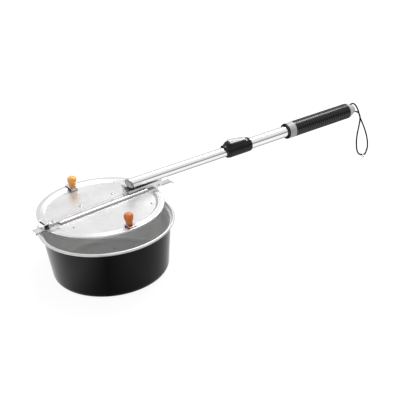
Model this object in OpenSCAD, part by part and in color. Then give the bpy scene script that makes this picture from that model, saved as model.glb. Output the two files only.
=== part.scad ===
// Campfire popper: a black pan, a two-part lid that turns on a rim hook,
// and a telescoping handle with a lever lock, a rubber grip and a wrist cord.
// Origin: centre of the pan's underside. +Z up, +X along the handle.

/* [Pan] */
// Outer diameter of the rolled rim
rim_d = 252; // [250:1:254]
// Height of the pan, from the floor to the top of the rim
pan_h = 101; // [96:1:110]
// Width of the flare between the wall and the edge of the rim
flare_w = 8; // [7:0.5:10]
// How far the wall leans in between the flare and the floor
wall_lean = 10.5; // [5:0.5:15]
// Outer radius of the corner between base and wall
corner_r = 14; // [8:1:20]
// Thickness of the pan's sheet steel
pan_sheet = 1.5; // [1:0.1:2]
// Diameter of the rolled bead on the rim
bead_d = 5; // [4:0.5:5.5]
// Height of the flare from the wall to the top of the rim
flare_h = 7; // [6.5:0.5:8]

/* [Lid] */
// Diameter of the lid
lid_d = 240; // [237:1:242]
// Thickness of the lid's sheet
lid_sheet = 1; // [0.8:0.1:1.2]
// Width of the raised band round the lid's edge
band_w = 12.5; // [11:0.5:13]
// Height of the band above the panel
band_rise = 3.5; // [3:0.1:3.7]
// Depth of the skirt round the edge of the band
skirt_h = 4; // [3:0.5:5]
// Room between the top of the rim and the panel
under_room = 3; // [2.6:0.1:3.4]
// How far the lid is turned on its hook away from closed
lid_turn = 23; // [21:1:25]
// Distance of the lid's turning point on the rim behind the lid's centre
turn_back = 20.6; // [19:0.1:22]
// Distance of the handle's line behind the lid's centre
line_y = 5.4; // [4.8:0.1:6]
// Diameter of the steam vents
vent_d = 4; // [3:0.5:6]

/* [Spine and hinge] */
// Width of the spine bar across the lid
spine_w = 13; // [12:0.5:13]
// Thickness of the spine bar
spine_t = 2.5; // [2:0.1:3]
// Distance of the hinge axis in front of the handle's line
hinge_y = 11; // [11:0.1:11.5]
// Outer diameter of the rolled hinge tube
hinge_d = 6.8; // [6.4:0.1:7]
// Diameter of the hinge pin
pin_d = 3; // [2.6:0.1:3.4]
// Length of each hinge knuckle
knuckle_l = 8; // [7:0.5:8]
// Distance of the left end of the front flap's hinge tube from the lid's edge
tube_left_in = 39; // [36.5:0.5:42.5]
// Distance of the right end of the front flap's hinge tube from the lid's edge
tube_right_in = 27; // [25.5:0.5:30]
// Thickness of the backing plate under the lid
backing_t = 1.2; // [1:0.1:1.3]
// Diameter of the rivet heads on the lid
rivet_head_d = 8; // [7:0.5:9]

/* [Knobs] */
// Diameter of the wooden knob's ball
knob_d = 18; // [16:0.5:20]
// Height of the wooden knob
knob_h = 22; // [20:0.5:25]
// Diameter of the knob's foot
knob_foot_d = 12.5; // [11:0.5:13.5]
// Distance of the front knob from the lid's edge
front_knob_in = 15; // [15:0.5:18]
// Distance of the back knob from the lid's edge
back_knob_in = 20.2; // [17:0.1:24]
// Distance of the front knob to the left of the lid's centre
front_knob_left = 4; // [0:0.5:6]
// Distance of the back knob to the left of the lid's centre
back_knob_left = 0.5; // [0:0.5:6]
// Height of the knob saddle above the panel
saddle_h = 6.5; // [6:0.1:7.5]
// Width of the knob saddle
saddle_w = 14; // [13:0.5:15]

/* [Rim hook and latch] */
// Thickness of the hook and latch steel
clip_t = 1.5; // [1.2:0.1:1.8]
// Width of the clip at the left end of the lid
clip_w = 22; // [20:0.5:22.5]
// Height of the clip above the spine
clip_rise = 6.5; // [5.5:0.5:8]
// Width of the hook under the rim
hook_w = 5; // [4:0.5:5]
// Room between the rim and the wall of the hook
hook_room = 7; // [6.8:0.1:8]
// Depth of the hook and the latch below the top of the rim
clip_drop = 9; // [8.5:0.5:11]
// Length of the clip's finger tab
tab_l = 16; // [14:1:19]
// Width of the clip's finger tab and of the latch's tongue
tongue_w = 16; // [14:0.5:18]
// Length of the latch's tongue
tongue_l = 33; // [28:1:34]
// Width of the handle bracket
bracket_w = 14.5; // [14:0.5:15]

/* [Handle] */
// Outer diameter of the inner tube
inner_d = 20; // [19.6:0.1:20.4]
// Wall of both tubes
tube_wall = 1.5; // [1.2:0.1:1.8]
// Radial clearance of the inner tube in the outer tube
tube_gap = 0.3; // [0.3:0.05:0.4]
// Distance of the start of the inner tube from the edge of the rim
tube_in = 57.5; // [55:0.5:60]
// Height of the tube's axis above the lid's panel, at the tube's start
tube_rise = 21.3; // [20.8:0.1:23]
// Droop of the handle below the level of the lid, in degrees
droop = 1.95; // [1.5:0.05:2.4]
// Length of the inner tube
inner_tube_length = 355; // [335:1:375]
// Distance along the handle to the front of the lock
lock_start = 227.5; // [222:0.5:234]
// Length of the lock
lock_l = 65.5; // [63:0.5:69]
// Length of the lock's nose in front of the outer tube
nose_l = 10; // [8:0.5:12]
// Distance of the lever's pin from the rear of the lock
lever_pin_in = 12; // [11:0.5:13]
// Diameter of the lock's barrel
lock_d = 29.5; // [28.5:0.1:30.5]
// Distance along the handle to the front of the grip
grip_start = 392.5; // [386:0.5:398]
// Length of the grip core's front lip
lip_l = 1.5; // [1:0.5:3]
// Length of the grey ferrule
ferrule_l = 17; // [14:0.5:20]
// Length of the rubber sleeve
sleeve_l = 155; // [149:1:161]
// Diameter of the grip
grip_d = 33; // [32:0.5:34]
// Length of the end cap
cap_l = 22; // [21:0.5:24]
// Number of grooves round the rubber sleeve
groove_n = 24; // [16:1:28]
// Width of a groove in the rubber sleeve
groove_w = 2; // [1:0.1:2.4]
// Depth of a groove in the rubber sleeve
groove_depth = 0.6; // [0.3:0.1:0.9]

/* [Wrist cord] */
// Diameter of the wrist cord
cord_d = 3.2; // [2.8:0.1:3.3]
// Diameter of the holes for the cord
cord_hole_d = 4.2; // [4:0.1:4.6]

/* [Hidden] */
$fn = 96;
eps = 0.01;
fit = 0.05;
run = 0.5;

// Pan
wall_top_r = rim_d / 2 - flare_w;
wall_base_r = wall_top_r - wall_lean;
fold_z = pan_h - flare_h;
taper = atan((wall_top_r - wall_base_r) / fold_z);
corner_x = wall_base_r + corner_r * tan(taper) - corner_r / cos(taper);
bead_x = (rim_d - bead_d) / 2;
bead_z = pan_h - bead_d / 2;

// Lid, in a frame whose origin is the lid's centre
lid_r = lid_d / 2;
step_r = lid_r - band_w;
panel_z = pan_h + under_room;
panel_top = panel_z + lid_sheet;
band_top = panel_top + band_rise;
hook_reach = sqrt(bead_x * bead_x - turn_back * turn_back);
lid_x = hook_reach * (1 - cos(lid_turn)) + turn_back * sin(lid_turn);
lid_y = hook_reach * sin(lid_turn) - turn_back * (1 - cos(lid_turn));
front_vents = [[-170, 4.5], [-156, 20.5], [-35, 13]];
back_vents = [[136, 6], [44, 6]];
flap_relief = 9.5;

// Spine and hinge, measured from the handle's line
spine_top = panel_top + spine_t;
hinge_z = panel_top + 1.5;
split_gap = 0.3;
tube_left = lid_r - tube_left_in;
tube_right = lid_r - tube_right_in;
pin_head_d = pin_d + 2;
pin_head_l = 1.2;
hinge_cut = knuckle_l + pin_head_l + 2 * run;
rivet_d = 4;
rivet_head_h = 2;
plate_rivets = [[-26, 22.5], [46.5, 25]];
spine_rivets = [-40, 30];
plate_margin = 9;

// Knobs
front_knob_r = lid_r - front_knob_in;
back_knob_r = lid_r - back_knob_in;
screw_d = 4;
screw_head_d = 7;
screw_head_h = 1.5;
screw_depth = 14;
saddle_t = 1.2;
saddle_in = 6.4;
saddle_top = panel_top + saddle_h;

// Rim hook and latch
clip_wall = rim_d / 2 - 2.5;
clip_top = spine_top + clip_rise;
clip_floor = pan_h + 0.5;
hook_wall = rim_d / 2 + hook_room;
hook_z = pan_h - clip_drop;
lip_in = hook_wall - 9.1;
hook_y = (tongue_w - hook_w) / 2;
foot_l = 20;
riser_x = rim_d / 2 - 14;
hook_rivet_x = [-riser_x + 0.3 * foot_l, -riser_x + 0.75 * foot_l];
slot_w = 18;
slot_l = 3;
bracket_t = 1.5;
stop_gap = 12;
tube_start = rim_d / 2 - tube_in;
bracket_left = tube_start - stop_gap;
ear_x = rim_d / 2 + 1.5;
latch_x = rim_d / 2 + 7.5;
bracket_right = latch_x + 5.5;
latch_z = pan_h + 3;
latch_hub_d = 6;
latch_hub_w = 5;
latch_hub_y = -1;
jaw_x = rim_d / 2 + 2.5;
jaw_w = 10;
jaw_lip = rim_d / 2 - 3;
coil_wire = 0.8;
coil_turns = 3;
coil_d = pin_d + 2 * run + coil_wire;
coil_pitch = 0.9;

// Handle, in a frame whose +Z runs along the tubes and whose -X is up
axis_z = panel_top + tube_rise;
inner_r = inner_d / 2;
outer_id = inner_d + 2 * tube_gap;
outer_d = outer_id + 2 * tube_wall;
outer_start = lock_start + nose_l;
sleeve_start = grip_start + lip_l + ferrule_l;
cap_start = sleeve_start + sleeve_l;
outer_end = cap_start + 5;
bush_l = 8;
core_d = outer_d + 3;
mouth_over = 3;
mouth_s = 1.7;
mouth_lean = 16.4;
tube_rivet_s = [15, 46];
lever_pin_s = lock_start + lock_l - lever_pin_in;
lever_pin_u = 14.4;
lever_w = 12;
lever_l = 39.5;
cam_r = 2.6;
pad_l = 9;
pad_w = 9;
hump_w = 20;
hump_u = 20;
hump_wall_u = 17.6;
nose_drop = 7.5;
slot_floor = lock_d / 2 + 0.5;
cord_high_u = 9;
cord_low_u = 7;
cord_hole_lean = 15;

// Route of the wrist cord, in the part's own frame
cord_route = [
    [658.7, 51.3, 116.5], [662.2, 51.4, 117.3], [666, 51.5, 118.2], [670.3, 51.7, 118.7], [675.6, 52, 117.6],
    [680.5, 52.3, 114], [685, 52.6, 108.4], [688.9, 52.8, 101.5], [692.2, 53, 93.8], [694.8, 53.1, 86.3],
    [697.3, 53.2, 78.8], [700.5, 53.2, 71.2], [704.2, 53.2, 63.3], [708.2, 53.1, 54.3], [711.7, 52.8, 45.1],
    [714.8, 52.4, 35.5], [716.9, 51.6, 25.7], [717.6, 50.5, 16], [716, 48.2, 7.9], [711.5, 44.6, 2.7],
    [703.9, 39, 1.7], [696.2, 33.2, 1.7], [690, 28.6, 1.7], [684, 26, 1.7], [678.5, 27.8, 1.7],
    [676.6, 33, 1.7], [677.9, 39.4, 2.5], [679.9, 44.8, 6.7], [681.5, 47.9, 14], [682.3, 49, 24.2],
    [683.8, 49.3, 36.3], [686.6, 49.4, 48.2], [689.9, 49.4, 59.4], [692.4, 49.4, 69], [693.6, 49.4, 76.8],
    [693.1, 49.5, 84.3], [690.9, 50, 90.2], [687.1, 50.6, 94.3], [681.8, 51.1, 97.2], [674, 51.3, 99.2],
    [666, 51.3, 99.6]];
crimp_pos = [678.5, 24.7];
crimp_turn = 225;
crimp_d = 4.6;
crimp_l = 11;

// Frames for the lid, the handle's line over the lid, and the handle
module on_lid() {
    translate([lid_x, lid_y, 0])
        children();
}

module on_line() {
    translate([lid_x, lid_y + line_y, 0])
        children();
}

module on_handle(along = 0) {
    translate([lid_x + tube_start, lid_y + line_y, axis_z])
        rotate([0, 90 + droop, 0])
            translate([0, 0, along])
                children();
}

// A tube or ring along +Z
module ring(outside, inside, length) {
    difference() {
        cylinder(d = outside, h = length);
        translate([0, 0, -eps])
            cylinder(d = inside, h = length + 2 * eps);
    }
}

// A bar along X that starts at the origin
module long_bar(diameter, length) {
    rotate([0, 90, 0])
        cylinder(d = diameter, h = length);
}

// A bar along Y, centred on the origin
module cross_bar(diameter, length) {
    rotate([90, 0, 0])
        cylinder(d = diameter, h = length, center = true);
}

// A plate between two heights, centred on y = 0
module plate(x_from, x_to, width, z_from, z_to) {
    translate([x_from, -width / 2, z_from])
        cube([x_to - x_from, width, z_to - z_from]);
}

// A round-headed rivet whose head sits at z = 0 and whose shank points down
module rivet(head_d, head_h, shank_d, shank_l) {
    ball_r = (head_d * head_d / 4 + head_h * head_h) / (2 * head_h);
    intersection() {
        translate([0, 0, head_h - ball_r])
            sphere(r = ball_r);
        cylinder(d = head_d, h = head_h);
    }
    translate([0, 0, -shank_l])
        cylinder(d = shank_d, h = shank_l + eps);
}

// Sweep of a round wire through points, as one closed solid
function unit(v) = v / norm(v);
function heading(p, i) = unit(p[min(i + 1, len(p) - 1)] - p[max(i - 1, 0)]);
function side_of(d, before) = unit(before - (before * d) * d);
function sides(p, i) =
    i == 0 ? [side_of(heading(p, 0), abs(heading(p, 0)[1]) < 0.9 ? [0, 1, 0] : [1, 0, 0])]
           : let (done = sides(p, i - 1)) concat(done, [side_of(heading(p, i), done[i - 1])]);

module wire(p, diameter, around) {
    n = len(p);
    s = sides(p, n - 1);
    rings = [for (i = [0 : n - 1])
                 let (d = heading(p, i), u = s[i], v = cross(d, u))
                     for (k = [0 : around - 1])
                         p[i] + diameter / 2 * (cos(360 * k / around) * u + sin(360 * k / around) * v)];
    ends = [p[0], p[n - 1]];
    skin = [for (i = [0 : n - 2]) for (k = [0 : around - 1])
                let (a = i * around + k, b = i * around + (k + 1) % around)
                    each [[a, a + around, b], [b, a + around, b + around]]];
    caps = [for (k = [0 : around - 1])
                let (last = (n - 1) * around)
                    each [[k, (k + 1) % around, n * around],
                          [last + (k + 1) % around, last + k, n * around + 1]]];
    polyhedron(concat(rings, ends), concat(skin, caps));
}

// Pan: one pressed cup with a flared, rolled rim
module cup_outline(inset, top_z) {
    polygon([[0, inset],
             [corner_x, inset],
             [corner_x + (corner_r - inset) * cos(taper), corner_r - (corner_r - inset) * sin(taper)],
             [wall_base_r + top_z * tan(taper) - inset / cos(taper), top_z],
             [0, top_z]]);
    intersection() {
        translate([corner_x, corner_r])
            circle(r = corner_r - inset);
        square([rim_d, corner_r]);
    }
}

module pan() {
    color("#151515")
        rotate_extrude($fn = 180) {
            difference() {
                cup_outline(0, fold_z);
                cup_outline(pan_sheet, fold_z + 1);
            }
            polygon([[wall_top_r - pan_sheet / cos(taper), fold_z],
                     [wall_top_r, fold_z],
                     [bead_x, bead_z - pan_sheet / 2],
                     [bead_x, bead_z + pan_sheet / 2]]);
            translate([bead_x, bead_z])
                circle(d = bead_d, $fn = 48);
        }
}

// Lid: a pressed disc with a raised band and a skirt, cut into two halves
module lid_disc() {
    rotate_extrude($fn = 180) {
        translate([0, panel_z])
            square([step_r + lid_sheet, lid_sheet]);
        translate([step_r, panel_z])
            square([lid_sheet, band_top - panel_z]);
        translate([step_r, band_top - lid_sheet])
            square([band_w, lid_sheet]);
        translate([lid_r - lid_sheet, band_top - skirt_h])
            square([lid_sheet, skirt_h]);
    }
}

// The same disc with the band left flat at both ends of a strip along X
module notched_disc(strip_y, strip_w) {
    difference() {
        lid_disc();
        for (side = [-1, 1])
            translate([side * lid_r, strip_y, band_top])
                cube([2 * band_w + 4, strip_w, 2 * band_rise], center = true);
    }
    intersection() {
        translate([0, 0, panel_z])
            cylinder(r = lid_r, h = lid_sheet, $fn = 180);
        for (side = [-1, 1])
            translate([side * lid_r, strip_y, panel_z])
                cube([2 * band_w + 4, strip_w, 4 * lid_sheet], center = true);
    }
}

module vents(spots) {
    for (v = spots)
        translate([(step_r - v[1]) * cos(v[0]), (step_r - v[1]) * sin(v[0]), panel_z - 1])
            cylinder(d = vent_d, h = lid_sheet + 2, $fn = 32);
}

module lid_back_half() {
    axis_y = line_y - hinge_y;
    color("gainsboro")
        on_lid()
            difference() {
                notched_disc(line_y, clip_w + 2 * split_gap);
                // Room for the latch where the lid is wider than the rim
                translate([ear_x - split_gap, line_y - bracket_w, 0])
                    cube([lid_r, 2 * bracket_w, band_top + 1]);
                translate([-lid_r - 1, -lid_r - 1, 0])
                    cube([lid_d + 2, lid_r + 1 + axis_y + split_gap, band_top + 1]);
                translate([-tube_left - hinge_cut, axis_y, 0])
                    cube([tube_left + tube_right + 2 * hinge_cut, hinge_y - spine_w / 2, band_top + 1]);
                for (p = concat(plate_rivets, [for (x = spine_rivets) [x, 0]]))
                    translate([p[0], p[1] + line_y, panel_z - 1])
                        cylinder(d = rivet_d + 2 * fit, h = lid_sheet + 2);
                translate([-back_knob_left, back_knob_r, panel_z - 1])
                    cylinder(d = screw_d + 2 * fit, h = lid_sheet + 2);
                vents(back_vents);
            }
}

module lid_front_half() {
    axis_y = line_y - hinge_y;
    color("gainsboro")
        on_lid()
            difference() {
                union() {
                    difference() {
                        notched_disc(axis_y, 2 * flap_relief);
                        translate([-lid_r - 1, axis_y, 0])
                            cube([lid_d + 2, lid_r + 1 - axis_y, band_top + 1]);
                    }
                    translate([-tube_left, axis_y, hinge_z])
                        long_bar(hinge_d, tube_left + tube_right);
                }
                translate([-lid_r - 1, axis_y, hinge_z])
                    long_bar(pin_d + 4 * fit, lid_d + 2);
                for (x = [-tube_left - hinge_cut, tube_right])
                    translate([x - eps, axis_y - hinge_d / 2 - run, panel_z - 2])
                        cube([hinge_cut + 2 * eps, hinge_d + 2 * run, hinge_d + 4]);
                translate([-front_knob_left, -front_knob_r, panel_z - 1])
                    cylinder(d = screw_d + 2 * fit, h = lid_sheet + 2);
                vents(front_vents);
            }
}

// Spine: the bar across the lid that carries the hook, the hinge and the handle
module lid_spine() {
    color("silver")
        on_line()
            difference() {
                union() {
                    plate(-riser_x, ear_x - 1, spine_w, panel_top, spine_top);
                    for (x = [-tube_left - run - knuckle_l, tube_right + run]) {
                        translate([x, -hinge_y, hinge_z])
                            long_bar(hinge_d, knuckle_l);
                        translate([x, -hinge_y, panel_top])
                            cube([knuckle_l, hinge_y, spine_t]);
                    }
                }
                translate([-lid_r, -hinge_y, hinge_z])
                    long_bar(pin_d + 2 * fit, lid_d);
                for (x = concat(spine_rivets, hook_rivet_x, [for (s = tube_rivet_s) tube_start + s]))
                    translate([x, 0, panel_top - 1])
                        cylinder(d = rivet_d + 2 * fit, h = spine_t + 2);
            }
}

// Backing plate: spreads the handle's load under the back half
module backing_plate() {
    color("silver")
        on_line()
            difference() {
                translate([plate_rivets[0][0] - 3 * plate_margin, -spine_w / 2, panel_z - backing_t])
                    cube([plate_rivets[1][0] - plate_rivets[0][0] + 4 * plate_margin,
                          plate_rivets[1][1] + plate_margin + spine_w / 2,
                          backing_t]);
                for (p = concat(plate_rivets, [for (x = spine_rivets) [x, 0]]))
                    translate([p[0], p[1], panel_z - backing_t - 1])
                        cylinder(d = rivet_d + 2 * fit, h = backing_t + 2);
            }
}

// Rivets: two domed heads on the panel and two flush ones in the spine
module lid_rivets() {
    color("darkgray")
        on_line() {
            for (p = plate_rivets)
                translate([p[0], p[1], panel_top])
                    rivet(rivet_head_d, rivet_head_h, rivet_d, lid_sheet + backing_t);
            for (x = spine_rivets)
                translate([x, 0, panel_z - backing_t])
                    cylinder(d = rivet_d, h = spine_top - panel_z + backing_t);
        }
}

// Hinge pin: a long pin through both knuckles and the flap's rolled edge
module hinge_pin() {
    pin_left = tube_left + run + knuckle_l;
    pin_right = tube_right + run + knuckle_l;
    color("gray")
        on_line()
            translate([-pin_left, -hinge_y, hinge_z]) {
                translate([-pin_head_l, 0, 0])
                    long_bar(pin_head_d, pin_head_l);
                translate([-eps, 0, 0])
                    long_bar(pin_d, pin_left + pin_right);
            }
}

// Knob saddle: a bent strip that bridges the panel and the raised band
module saddle(knob_r) {
    inner = knob_r - saddle_in;
    outer = lid_r - 2.5;
    difference() {
        union() {
            translate([-saddle_w / 2, inner, saddle_top - saddle_t])
                cube([saddle_w, outer - inner, saddle_t]);
            translate([-saddle_w / 2, inner, panel_top])
                cube([saddle_w, saddle_t, saddle_h]);
            translate([-saddle_w / 2, outer - saddle_t, band_top])
                cube([saddle_w, saddle_t, saddle_top - band_top]);
        }
        translate([0, knob_r, panel_top])
            cylinder(d = screw_d + 2 * fit, h = saddle_h + 1);
    }
}

module back_saddle() {
    color("silver")
        on_lid()
            translate([-back_knob_left, 0, 0])
                saddle(back_knob_r);
}

module front_saddle() {
    color("silver")
        on_lid()
            translate([-front_knob_left, 0, 0])
                mirror([0, 1, 0])
                    saddle(front_knob_r);
}

// Knob: a turned wooden ball on a tapered neck, drilled for its screw
module knob() {
    ball_z = knob_h - knob_d / 2;
    difference() {
        union() {
            cylinder(d1 = knob_foot_d, d2 = knob_d * 0.92, h = ball_z - 2);
            translate([0, 0, ball_z])
                sphere(d = knob_d);
        }
        translate([0, 0, -eps])
            cylinder(d = screw_d + 2 * fit, h = screw_depth);
    }
}

module back_knob() {
    color("chocolate")
        on_lid()
            translate([-back_knob_left, back_knob_r, saddle_top])
                knob();
}

module front_knob() {
    color("chocolate")
        on_lid()
            translate([-front_knob_left, -front_knob_r, saddle_top])
                knob();
}

// Knob screw: up through the panel and the saddle into the wood
module knob_screw() {
    translate([0, 0, panel_z - screw_head_h])
        cylinder(d = screw_head_d, h = screw_head_h);
    translate([0, 0, panel_z - eps])
        cylinder(d = screw_d, h = saddle_top - panel_z + screw_depth - 1);
}

module back_knob_screw() {
    color("gray")
        on_lid()
            translate([-back_knob_left, back_knob_r, 0])
                knob_screw();
}

module front_knob_screw() {
    color("gray")
        on_lid()
            translate([-front_knob_left, -front_knob_r, 0])
                knob_screw();
}

// Rim hook: a folded clip at the left end with a narrow hook under the rim
module rim_hook() {
    tab_end = clip_wall + tab_l;
    color("silver")
        on_line()
            difference() {
                union() {
                    plate(-riser_x, -riser_x + foot_l, spine_w - 1, spine_top, spine_top + clip_t);
                    plate(-riser_x, -riser_x + clip_t, clip_w, spine_top, clip_top);
                    plate(-clip_wall, -riser_x + clip_t, clip_w, clip_top - clip_t, clip_top);
                    plate(-clip_wall, -clip_wall + clip_t, clip_w, clip_floor, clip_top);
                    translate([0, (clip_w - clip_t) / 2, 0])
                        plate(-clip_wall, -riser_x + clip_t, clip_t, panel_top + 0.2, clip_top);
                    plate(-tab_end, -clip_wall + clip_t, tongue_w, clip_floor, clip_floor + clip_t);
                    translate([0, hook_y, 0]) {
                        plate(-hook_wall - clip_t, -hook_wall, hook_w, hook_z, clip_floor + clip_t);
                        plate(-hook_wall - clip_t, -lip_in, hook_w, hook_z, hook_z + clip_t);
                    }
                }
                plate(-clip_wall + 1, -clip_wall + 1 + slot_l, slot_w, clip_top - 2 * clip_t, clip_top + 1);
                for (x = hook_rivet_x)
                    translate([x, 0, spine_top - 1])
                        cylinder(d = rivet_d + 2 * fit, h = clip_t + 2);
            }
}

module hook_rivets() {
    color("darkgray")
        on_line()
            for (x = hook_rivet_x)
                translate([x, 0, spine_top + clip_t])
                    rivet(rivet_head_d - 1, rivet_head_h, rivet_d, clip_t + spine_t);
}

// Handle bracket: a folded channel on the spine that cradles the inner tube, with a horn at the back
module handle_bracket() {
    stop_h = 11;
    near_h = tube_rise - spine_t - inner_r - 1.5;
    far_h = tube_rise - spine_t - 3;
    wall_left = bracket_left + 6;
    wall_y = (bracket_w - bracket_t) / 2;
    color("lightgray")
        difference() {
            on_line() {
                plate(bracket_left, ear_x, bracket_w, spine_top, spine_top + bracket_t);
                plate(bracket_left, bracket_left + bracket_t, bracket_w - 5, spine_top, spine_top + stop_h);
                for (side = [-1, 1])
                    translate([0, side * wall_y, 0]) {
                        plate(wall_left, bracket_right, bracket_t, spine_top,
                              spine_top + (side < 0 ? near_h : far_h));
                        plate(ear_x, bracket_right, bracket_t, clip_floor, spine_top + 1);
                    }
                translate([0, bracket_w / 2, 0])
                    rotate([90, 0, 0])
                        linear_extrude(bracket_t)
                            polygon([[wall_left + 3, spine_top + 4],
                                     [wall_left, spine_top + 4],
                                     [wall_left - 7, spine_top + far_h + 3],
                                     [wall_left - 4.5, spine_top + far_h + 4],
                                     [wall_left + 3, spine_top + far_h - 4]]);
            }
            on_handle(-mouth_over - 1)
                cylinder(d = inner_d + 2 * fit, h = 6 * inner_d);
            on_line() {
                for (s = tube_rivet_s)
                    translate([tube_start + s, 0, spine_top - 1])
                        cylinder(d = rivet_d + 2 * fit, h = bracket_t + 2);
                translate([latch_x, 0, latch_z])
                    cross_bar(pin_d + 2 * fit, bracket_w + 2);
            }
        }
}

// Tube rivets: from the tube's floor through the bracket and the spine
module tube_rivets() {
    color("darkgray")
        on_line()
            for (s = tube_rivet_s) {
                floor_z = axis_z - s * sin(droop) - inner_r + tube_wall + 0.9;
                translate([tube_start + s, 0, floor_z])
                    rivet(rivet_head_d - 1, rivet_head_h, rivet_d, floor_z - panel_top);
            }
}

// Latch: a sprung lever at the right end, lifted by its tongue to free the rim
module latch_lever() {
    tongue_z = latch_z - latch_hub_d / 2;
    curl_r = 7;
    flat_end = latch_x + tongue_l - curl_r;
    color("silver")
        on_line()
            difference() {
                union() {
                    translate([latch_x, latch_hub_y, latch_z])
                        cross_bar(latch_hub_d, latch_hub_w);
                    translate([0, latch_hub_y, 0]) {
                        plate(jaw_x, latch_x, latch_hub_w, latch_z, latch_z + clip_t);
                        plate(latch_x, bracket_right + run + eps, latch_hub_w, tongue_z, tongue_z + clip_t);
                    }
                    plate(jaw_x, jaw_x + clip_t, jaw_w, hook_z, latch_z + clip_t);
                    plate(jaw_lip, jaw_x + clip_t, jaw_w, hook_z, hook_z + clip_t);
                    plate(bracket_right + run, flat_end, tongue_w, tongue_z, tongue_z + clip_t);
                    translate([flat_end, 0, tongue_z + clip_t - curl_r])
                        rotate([90, 0, 0])
                            translate([0, 0, -tongue_w / 2])
                                intersection() {
                                    ring(2 * curl_r, 2 * (curl_r - clip_t), tongue_w);
                                    rotate([0, 0, 15])
                                        cube([2 * curl_r, 2 * curl_r, tongue_w]);
                                    translate([-eps, 0, 0])
                                        cube([2 * curl_r, 2 * curl_r, tongue_w]);
                                }
                }
                translate([latch_x, 0, latch_z])
                    cross_bar(pin_d + 4 * fit, bracket_w);
            }
}

module latch_pin() {
    color("gray")
        on_line()
            translate([latch_x, 0, latch_z]) {
                cross_bar(pin_d, bracket_w + 2 * eps);
                for (side = [-1, 1])
                    translate([0, side * (bracket_w + pin_head_l) / 2, 0])
                        cross_bar(pin_head_d, pin_head_l);
            }
}

// Latch spring: a short torsion coil on the latch pin, beside the lever's hub
module latch_spring() {
    start_y = latch_hub_w / 2 + latch_hub_y + coil_wire;
    steps = 12;
    turns = [for (i = [0 : coil_turns * steps])
                 [coil_d / 2 * cos(360 * i / steps), start_y + coil_pitch * i / steps,
                  coil_d / 2 * sin(360 * i / steps)]];
    color("gray")
        on_line()
            translate([latch_x, 0, latch_z])
                wire(turns, coil_wire, 6);
}

// Inner tube: cut at a slant in front and fixed to the bracket, slides inside the outer tube
module inner_tube() {
    color("whitesmoke")
        difference() {
            on_handle(-mouth_over)
                ring(inner_d, inner_d - 2 * tube_wall, inner_tube_length + mouth_over);
            on_handle(mouth_s)
                rotate([-mouth_lean, -mouth_lean, 0])
                    translate([-inner_d, -inner_d, -2 * inner_d])
                        cube([2 * inner_d, 2 * inner_d, 2 * inner_d]);
            on_line()
                for (s = tube_rivet_s)
                    translate([tube_start + s, 0, axis_z - 2 * inner_r])
                        cylinder(d = rivet_d + 2 * fit, h = 2 * inner_r);
        }
}

// Guide bush: a plastic plug on the end of the inner tube
module inner_tube_bush() {
    color("dimgray")
        on_handle(inner_tube_length) {
            cylinder(d = outer_id - 2 * fit, h = bush_l);
            translate([0, 0, -2 * bush_l])
                cylinder(d = inner_d - 2 * tube_wall - 2 * fit, h = 2 * bush_l + eps);
        }
}

// Outer tube: carries the lock in front and the grip behind
module outer_tube() {
    color("whitesmoke")
        on_handle(outer_start)
            difference() {
                ring(outer_d, outer_id, outer_end - outer_start);
                translate([-outer_d, -pad_w / 2 - run, lever_pin_s - outer_start - pad_l / 2 - run])
                    cube([outer_d, pad_w + 2 * run, pad_l + 2 * run]);
            }
}

// Lock: a moulded clamp on the front of the outer tube, with a hump for the lever
module lock_body() {
    nose_d = lock_d - 1.5;
    slot_half = lever_w / 2 + 0.4;
    pin_at = lever_pin_s - lock_start;
    foot_u = lock_d / 2 - 1;
    color("#1c1c1c")
        on_handle(lock_start)
            difference() {
                union() {
                    cylinder(d = nose_d, h = nose_l);
                    translate([0, 0, nose_l - 1])
                        cylinder(d = lock_d, h = lock_l - nose_l + 1);
                    rotate([90, 0, 0])
                        translate([0, 0, -hump_w / 2])
                            linear_extrude(hump_w)
                                polygon([[0, nose_l - 4],
                                         [-foot_u, nose_l - 4],
                                         [-hump_u, nose_l + 2],
                                         [-hump_u, nose_l + 3.4],
                                         [-hump_wall_u, nose_l + 6],
                                         [-lever_pin_u - cam_r + 0.4, pin_at + 3.5],
                                         [-foot_u, lock_l - 2],
                                         [0, lock_l - 2]]);
                }
                translate([-nose_d / 2, 0, 0])
                    rotate([0, -atan(nose_drop / nose_d), 0])
                        translate([-nose_d, -nose_d, -2 * nose_d])
                            cube([4 * nose_d, 2 * nose_d, 2 * nose_d]);
                translate([0, 0, -eps])
                    cylinder(d = inner_d + 2 * fit, h = nose_l + 2 * eps);
                translate([0, 0, nose_l])
                    cylinder(d = outer_d + 2 * fit, h = lock_l);
                translate([-2 * hump_u, -slot_half, nose_l + 3.4])
                    cube([2 * hump_u - slot_floor, 2 * slot_half, lock_l]);
                translate([-2 * hump_u, -slot_half, pin_at - cam_r - run])
                    cube([2 * hump_u, 2 * slot_half, 2 * (cam_r + run)]);
                translate([-2 * hump_u, -pad_w / 2 - run, pin_at - pad_l / 2 - run])
                    cube([2 * hump_u, pad_w + 2 * run, pad_l + 2 * run]);
                translate([-lever_pin_u, 0, pin_at])
                    cross_bar(pin_d + 2 * fit, lock_d + 10);
            }
}

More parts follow.
